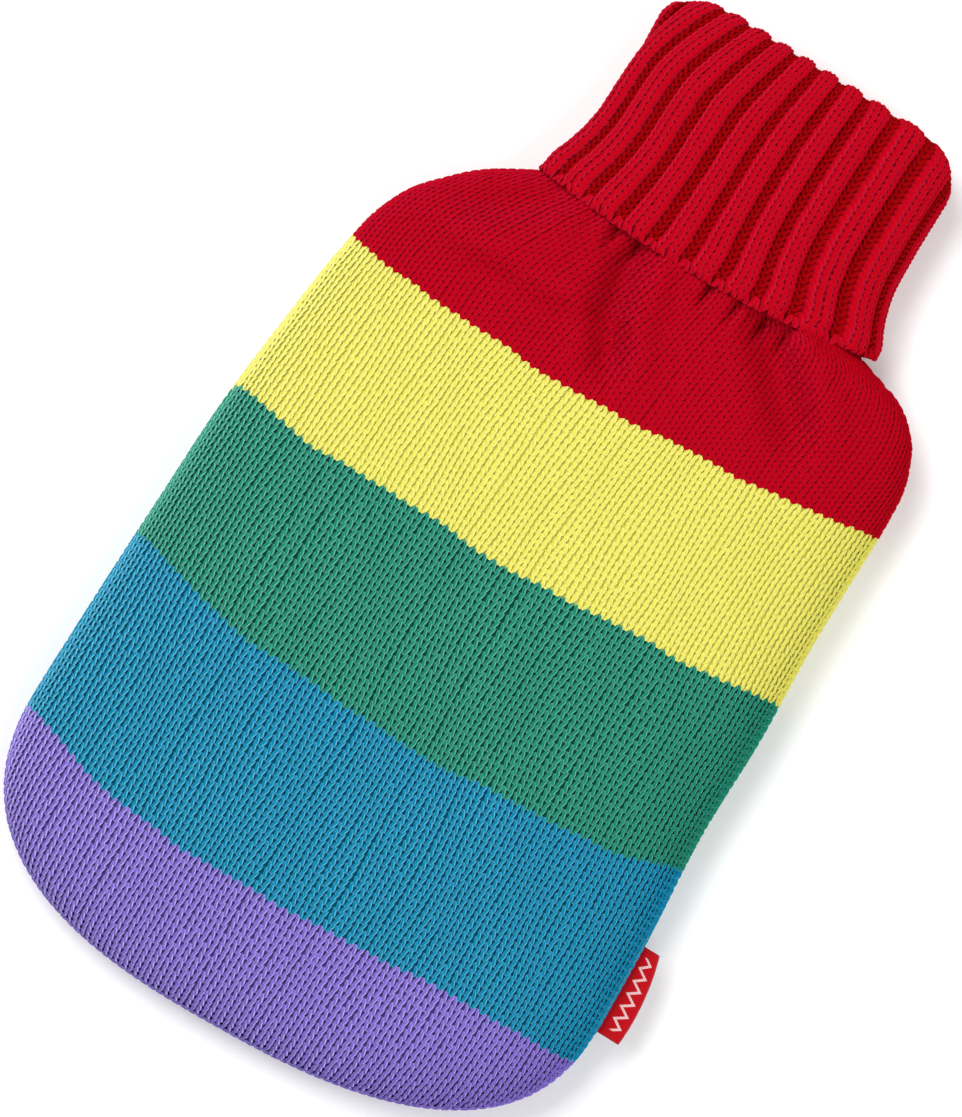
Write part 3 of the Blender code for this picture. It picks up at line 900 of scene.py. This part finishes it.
FOLD_CORNER = 0.32
FOLD_SCALLOP = 0.5
LEAN = 11.5
LEAN_FROM = 322.0
LEAN_GROWTH = 1.5
LEAN_ENDS = 0.36
LEAN_BACK = 0.82
# How deep the valleys are, and how far from the hem and the fold they fill up again
VALLEY = 1.9
HEM_FILL = 5.0
FOLD_FILL = 0.5
FOLD_FILL_REACH = 9.0
# How far the hem hugs the panel beneath it
HEM_TUCK = 2.7
HEM_TUCK_REACH = 9.0
# The last ribs on the right lie wider and flatter than the others
WIDE_RIBS = 0.65
WIDE_FROM = 0.33
WIDE_TO = 0.50
NARROW_FROM = 0.56
NARROW_TO = 0.88
OVAL_STEPS = 1440
# Keeps the start of a rib from being taken for the end of the one before it
ROUNDING = 1e-6
# The cloth's way from the cuff's hem up the outside, over the fold and down the wall
CUFF_LENGTH = 71.0
FOLD_LENGTH = 11.6
WALL_LENGTH = 62.0
COLLAR_LENGTH = CUFF_LENGTH + FOLD_LENGTH + WALL_LENGTH
COLLAR_COURSE = 2.2
# Its ground, coloured with painted shade: how much of the red it keeps, how deep it lies and how
# thick it is, and its sheet's columns for each rib and its rows
COLLAR_GROUND = 1.2
COLLAR_CLOTH_SUNK = 1.1
COLLAR_CLOTH_THICKNESS = 0.5
COLLAR_CLOTH_GRID = (10, 90)

Oval = namedtuple("Oval", "ways sides rises length")


def collar_oval():
    """The collar's section: sideways and upward places against the way round it."""
    half = (CUFF[-1].right - CUFF[-1].left) / 2
    angles = np.linspace(math.pi, -math.pi, OVAL_STEPS + 1)
    across = np.sign(np.cos(angles)) * np.abs(np.cos(angles)) ** (2 / SECTION_POWER)
    rises = np.sin(angles)
    steps = np.hypot(np.diff(across) * half, np.diff(rises) * CUFF[-1].rise)
    way_round = np.concatenate([[0.0], np.cumsum(steps)])
    return Oval(way_round / way_round[-1], across, rises, way_round[-1])


oval = collar_oval()


def rib_count(way):
    """How many ribs lie before a way round the collar from 0 to 1."""
    widened = window(way, WIDE_TO, NARROW_FROM, WIDE_TO - WIDE_FROM)
    narrowed = window(way, 0.0, NARROW_FROM, NARROW_TO - NARROW_FROM)
    return way * RIBS_AROUND - WIDE_RIBS * np.where(way > NARROW_FROM, narrowed, widened)


def rib_height(way):
    """0 in the rib's valley and 1 on its ridge."""
    phase = (rib_count(way) + ROUNDING) % 1.0
    up = np.clip(phase / RIB_FLANK, 0.0, 1.0)
    down = np.clip((RIB_WIDTH - phase) / RIB_FLANK, 0.0, 1.0)
    return up * up * (3 - 2 * up) * down * down * (3 - 2 * down)


def collar_spot(way, run, sunk):
    """Points of the collar: way round it, run along the cloth, sunk so far below its surface."""
    ridge = rib_height(way)
    ridge = ridge + (1 - ridge) * np.maximum(0.0, 1 - run / HEM_FILL) ** 2
    across = np.interp(way, oval.ways, oval.sides)
    lean = LEAN / oval.length * np.where(
        way < LEAN_ENDS, window(way, 0.0, 0.0, LEAN_ENDS), window(way, 1.0, 1.0, 1 - LEAN_BACK))
    across_top = np.interp((way + lean) % 1.0, oval.ways, oval.sides)
    corner = np.clip((np.abs(across_top) - 1) / FOLD_CORNER + 1, 0.0, 1.0)
    from_fold = (run - CUFF_LENGTH - FOLD_LENGTH / 2) / (FOLD_FILL_REACH * (1 + corner))
    filled = (FOLD_FILL + (1 - FOLD_FILL) * corner) * np.exp(-(from_fold ** 2))
    ridge = ridge + (1 - ridge) * filled
    sunk = sunk + HEM_TUCK * np.maximum(0.0, 1 - run / HEM_TUCK_REACH) ** 2
    drop = np.where(across_top < 0, FOLD_DROP_LEFT, FOLD_DROP_RIGHT)
    hem = HEM_MIDDLE + HEM_TILT * across + HEM_BOW * across ** 2 - HEM_SCALLOP * ridge
    thickest = RIB_WEB + RIB_RELIEF
    turn = thickest + LAYER_GAP / 2
    drop = drop * (1 - np.sqrt(1 - corner ** 2)) + FOLD_SCALLOP * (1 - ridge)
    top = FOLD_MIDDLE - drop - turn
    neck = BAG[0].y + SEAM_GAP
    up = np.clip(run / CUFF_LENGTH, 0.0, 1.0)
    over = np.clip((run - CUFF_LENGTH) / FOLD_LENGTH, 0.0, 1.0)
    down = np.clip((run - CUFF_LENGTH - FOLD_LENGTH) / WALL_LENGTH, 0.0, 1.0)
    radius = LAYER_GAP / 2 + thickest - sunk - VALLEY * (1 - ridge)
    depth = turn - radius * np.cos(over * math.pi)
    y = top + radius * np.sin(over * math.pi)
    y = np.where(over <= 0, hem + up * (top - hem), y)
    y = np.where(over >= 1, top + down * (neck - top), y)
    ramp = np.maximum(0.0, (y - LEAN_FROM) / (FOLD_MIDDLE - LEAN_FROM)) ** LEAN_GROWTH
    leaned = (way + lean * ramp) % 1.0
    side_now = np.interp(leaned, oval.ways, oval.sides)
    rise_now = np.interp(leaned, oval.ways, oval.rises)
    station = np.where(over >= 1, CUFF[-1].y, y)
    left = smooth(CUFF, "left", station) + depth
    right = smooth(CUFF, "right", station) - depth
    x = (left + right) / 2 + (right - left) / 2 * side_now
    above = COLLAR_SIDE_Z + (smooth(CUFF, "rise", station) - depth) * rise_now
    below = COLLAR_SIDE_Z + (COLLAR_SIDE_Z + COLLAR_SINK - depth) * rise_now
    z = np.where(rise_now >= 0, above, np.maximum(depth, below))
    return np.column_stack([x, y, z])


def collar_grid(name, sunk, grid):
    """The collar's cloth as a grid, faces outwards, its UV map counting the ribs and the run."""
    def place(u, v):
        knit = np.column_stack([rib_count(u) / RIBS_AROUND, v])
        return collar_spot(u, v * COLLAR_LENGTH, sunk), knit
    columns_per_rib, rows = grid
    return laid_grid(name, RIBS_AROUND * columns_per_rib, rows, place)


red = STRIPES[-1].colour
# The collar's ground is the red darkened as painted shade of the gaps between its stitches
collar_ground = ground_material(
    "collar_ground", [(shaded(red, COLLAR_GROUND), 1.0)], RIBS_AROUND,
    COLLAR_LENGTH / COLLAR_COURSE)
collar_cloth = collar_grid("collar_cloth", COLLAR_CLOTH_SUNK, COLLAR_CLOTH_GRID)
collar_cloth.data.materials.append(collar_ground)
thickened(collar_cloth, COLLAR_CLOTH_THICKNESS)
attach(collar_cloth, "root")
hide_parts("collar")

# ----------------------------------------------------------------------------------------------
# The collar's stitches: two wales of Vs stand on every rib, one of small Vs, darkened with painted
# shade, lies in every valley, and one row of the cast-on edge runs round the hem.
# ----------------------------------------------------------------------------------------------

# How deep its yarn lies, and the columns for each rib and the rows of the sheet that it follows
COLLAR_YARN_SUNK = 0.65
COLLAR_YARN_GRID = (12, 90)
# The width of a wale on the ribs and in the valleys, in ribs, and the share of the red that the
# valleys' yarn keeps, darkened as painted shade of the recess
RIB_WALE = 0.358
VALLEY_WALE = 0.295
VALLEY_SHADE = 1.3
# The share of the cloth's way that is in sight, how far the hem's row stands out, and how many
# of its stitches go to each rib
KNITTED_RUN = 0.68
HEM_CORD = 0.2
HEM_STITCHES = 3

collar_courses = round(COLLAR_LENGTH / COLLAR_COURSE)
IN_COLLAR = {
    **STITCHES, "First Course": 0.8, "Map Wales": float(RIBS_AROUND),
    "Map Courses": float(collar_courses), "Rows": round(collar_courses * KNITTED_RUN)}
collar_yarn = yarn_material("collar_yarn", red, deep=1.6, bloom=0.006, sheen=YARN_SHEEN)
rib_stitches = collar_grid("collar_rib_yarn", COLLAR_YARN_SUNK, COLLAR_YARN_GRID)
knitted(rib_stitches, stitches, {
    **IN_COLLAR, "Columns": 2 * RIBS_AROUND, "Together": 2, "First Wale": RIB_WIDTH / 2 - RIB_WALE,
    "Wale Width": RIB_WALE, "Reach": 1.6, "Lift": 0.15 * MM, "Sink": 0.25 * MM,
    "Yarn Half Width": 0.22, "Yarn Half Rise": 0.45 * MM, "Leg Steps": 3,
    "Seed": 11, "Yarn": collar_yarn})
# The valleys' yarn is the red darkened with painted shade
valley_yarn = yarn_material(
    "valley_yarn", shaded(red, VALLEY_SHADE), deep=1.4, bloom=0.0, sheen=0.1)
valley_stitches = collar_grid("collar_valley_yarn", COLLAR_YARN_SUNK, COLLAR_YARN_GRID)
knitted(valley_stitches, stitches, {
    **IN_COLLAR, "Columns": RIBS_AROUND, "Together": 1,
    "First Wale": (1 + RIB_WIDTH - VALLEY_WALE) / 2, "Wale Width": VALLEY_WALE,
    "Foot": 0.06, "Head": 0.42, "Reach": 1.15, "Lift": 0.1 * MM, "Sink": 0.2 * MM,
    "Yarn Half Width": 0.21, "Yarn Half Rise": 0.35 * MM, "Leg Steps": 2,
    "Seed": 12, "Yarn": valley_yarn})
hem_stitches = collar_grid("collar_hem_yarn", COLLAR_YARN_SUNK - HEM_CORD, COLLAR_YARN_GRID)
knitted(hem_stitches, stitches, {
    **IN_COLLAR, "Columns": HEM_STITCHES * RIBS_AROUND, "Together": HEM_STITCHES,
    "Wale Width": 1 / HEM_STITCHES, "Rows": 1, "First Course": 0.0,
    "Foot": 0.22, "Head": 0.36, "Reach": 1.3, "Lift": 0.2 * MM, "Sink": 0.3 * MM,
    "Yarn Half Width": 0.23, "Yarn Half Rise": 0.5 * MM, "Leg Steps": 3, "Jitter": 0.12,
    "Seed": 13, "Yarn": collar_yarn})
collar_stitches = [rib_stitches, valley_stitches, hem_stitches]
for piece in collar_stitches:
    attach(piece, "root")

# ----------------------------------------------------------------------------------------------
# The label: a short red tape, woven like satin with a pale zigzag in it. It is folded in two, and
# its ends are caught in the right-hand side seam.
# ----------------------------------------------------------------------------------------------

LABEL_OUT_TOP = 5.4
LABEL_OUT_BOTTOM = 7.6
LABEL_CAUGHT = 3.0
LABEL_TAPE = 0.5
LABEL_SLIT = 0.35
LABEL_BOW = 1.4
LABEL_DROOP = 0.8
# The share of the tape from an end to where its fold starts, and its sheet's columns and rows
LABEL_RUN = 0.3
LABEL_GRID = (40, 30)
# The weave: its threads along and across the tape, how high they stand, the painted light and
# shade that their height picks between its two reds, paler where they stand high, and its relief
LABEL_WARPS = 60
LABEL_WEFTS = 45
WARP_HEIGHT = 0.6
WEFT_HEIGHT = 0.4
WEAVE_MIDDLE = 0.6
WEAVE_TONE = 0.25
WEAVE_BUMP = {"Strength": 0.5, "Distance": 0.00015}
TAPE_DEEP = (0.26, 0.0, 0.002, 1.0)
TAPE_PALE = (0.52, 0.001, 0.008, 1.0)
# The zigzag: its thread, how far that covers the tape, the whole tape's length, and how far the
# zigzag lies from a caught end, all lengths in millimetres
ZIGZAG_THREAD = (0.80, 0.62, 0.62, 1.0)
ZIGZAG_COVER = 0.7
ZIGZAG_RELIEF = 0.3
ZIGZAG_TAPE = 21.0
ZIGZAG_RUN = 4.3
ZIGZAG_SWING = 2.0
ZIGZAG_HALF_WIDTH = 0.42
ZIGZAG_TURNS = 7.0
ZIGZAG_ENDS = 0.09


def label_spot(u, v):
    """Points of the tape's outer face: u along it, round its fold, and v across it."""
    outer = LABEL_TAPE + LABEL_SLIT / 2
    y = LABEL_BOTTOM + v * (LABEL_TOP - LABEL_BOTTOM)
    edge = smooth(BAG, "right", y)
    out = LABEL_OUT_BOTTOM + v * (LABEL_OUT_TOP - LABEL_OUT_BOTTOM) + LABEL_BOW * 4 * v * (1 - v)
    caught = edge - LABEL_CAUGHT
    bend = np.clip((u - LABEL_RUN) / (1 - 2 * LABEL_RUN), 0.0, 1.0) * math.pi
    run = np.minimum(1.0, np.minimum(u, 1 - u) / LABEL_RUN)
    x = caught + run * (edge + out - outer - caught) + outer * np.sin(bend)
    droop = LABEL_DROOP * np.maximum(0.0, (x - edge) / out) ** 2
    z = smooth(BAG, "seam", y) + outer * np.cos(bend) - droop
    return np.column_stack([x, y, z]), np.column_stack([u, v])


def label_material():
    """A fine satin-woven red tape, with a pale zigzag woven along the half next to the seam."""
    material, tree, shader = new_material("woven_red_tape", roughness=0.55, sheen=0.2)
    knit = tree.node("ShaderNodeUVMap", {"uv_map": "knit"})["UV"]
    way = tree.node("ShaderNodeSeparateXYZ", sockets={"Vector": knit})
    warp = (way["Y"] * (LABEL_WARPS * math.tau)).math("SINE")
    weft = (way["X"] * (LABEL_WEFTS * math.tau)).math("SINE")
    height = warp * WARP_HEIGHT + weft * WEFT_HEIGHT
    # Painted light and shade: the weave's high threads are paler and its low ones deeper
    tone = height * WEAVE_TONE + WEAVE_MIDDLE
    tape = tree.node("ShaderNodeMix", {"data_type": "RGBA"}, {
        "Factor": tone, "A": TAPE_DEEP, "B": TAPE_PALE})["Result"]
    run = (way["X"] - 0.5).math("ABSOLUTE") * -ZIGZAG_TAPE + ZIGZAG_TAPE / 2
    phase = way["Y"] * ZIGZAG_TURNS
    turn = (phase % 1.0 - 0.5).math("ABSOLUTE") * 2
    off = (run - ZIGZAG_RUN - (turn - 0.5) * ZIGZAG_SWING).math("ABSOLUTE")
    inside = (way["Y"] > ZIGZAG_ENDS) * ((1 - way["Y"]) > ZIGZAG_ENDS)
    thread = (ZIGZAG_HALF_WIDTH - off > 0.0) * inside
    covered = thread * (ZIGZAG_COVER + height * ZIGZAG_RELIEF)
    woven = tree.node("ShaderNodeMix", {"data_type": "RGBA"}, {
        "Factor": covered, "A": tape, "B": ZIGZAG_THREAD})["Result"]
    tree.feed(woven, shader.inputs["Base Color"])
    normal = tree.node("ShaderNodeBump", sockets={"Height": height, **WEAVE_BUMP})["Normal"]
    tree.feed(normal, shader.inputs["Normal"])
    return material


label = laid_grid("label_tape", *LABEL_GRID, label_spot)
thickened(label, LABEL_TAPE)
label.data.materials.append(label_material())
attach(label, "root")
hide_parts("label")

# ----------------------------------------------------------------------------------------------
# The floor, the lights and the camera: a pale studio table, lit by a soft key light on the left
# and a wide fill on the right, and seen from straight above.
# ----------------------------------------------------------------------------------------------

FLOOR_SIZE = 4.0
FLOOR_COLOUR = (0.94, 0.94, 0.94, 1.0)
WORLD_COLOUR = (1.0, 1.0, 1.0, 1.0)
WORLD_STRENGTH = 0.30
# The camera's height in metres, and where it aims, in millimetres of the frame
CAMERA_HEIGHT = 3.0
CAMERA_AIM = (-10.07, -8.71)
CAMERA_TURN = 32.0
# What the picture takes in from top to bottom, at the height of the bag's outline
PICTURE_HEIGHT = 343.7
OUTLINE_Z = 14.0
SENSOR_WIDTH = 36.0

bpy.ops.mesh.primitive_plane_add(size=FLOOR_SIZE)
floor = bpy.context.object
floor.name = "floor"
floor_material, tree, shader = new_material("pale_table", roughness=0.9, sheen=0.0)
shader.inputs["Base Color"].default_value = FLOOR_COLOUR
floor.data.materials.append(floor_material)


def area_light(name, place, size, power):
    """A square soft light that looks at the frame's origin, its place and size in metres."""
    lamp = bpy.data.lights.new(name, "AREA")
    lamp.shape = "SQUARE"
    lamp.size = size
    lamp.energy = power
    light = bpy.data.objects.new(name, lamp)
    light.location = place
    light.rotation_euler = (-Vector(place)).to_track_quat("-Z", "Y").to_euler()
    light.visible_camera = False
    bpy.context.scene.collection.objects.link(light)


area_light("key", place=(-1.0, 0.38, 1.25), size=1.3, power=32.5)
area_light("fill", place=(1.2, -0.28, 1.15), size=1.8, power=26.0)

world = bpy.data.worlds.new("studio")
world.use_nodes = True
world.node_tree.nodes["Background"].inputs["Color"].default_value = WORLD_COLOUR
world.node_tree.nodes["Background"].inputs["Strength"].default_value = WORLD_STRENGTH
bpy.context.scene.world = world
bpy.context.scene.view_settings.view_transform = "Standard"

lens = bpy.data.cameras.new("camera")
lens.sensor_width = SENSOR_WIDTH
lens.lens = lens.sensor_width * (CAMERA_HEIGHT / MM - OUTLINE_Z) / PICTURE_HEIGHT
camera = bpy.data.objects.new("camera", lens)
camera.location = (CAMERA_AIM[0] * MM, CAMERA_AIM[1] * MM, CAMERA_HEIGHT)
camera.rotation_euler = (0.0, 0.0, math.radians(CAMERA_TURN))
bpy.context.scene.collection.objects.link(camera)
bpy.context.scene.camera = camera
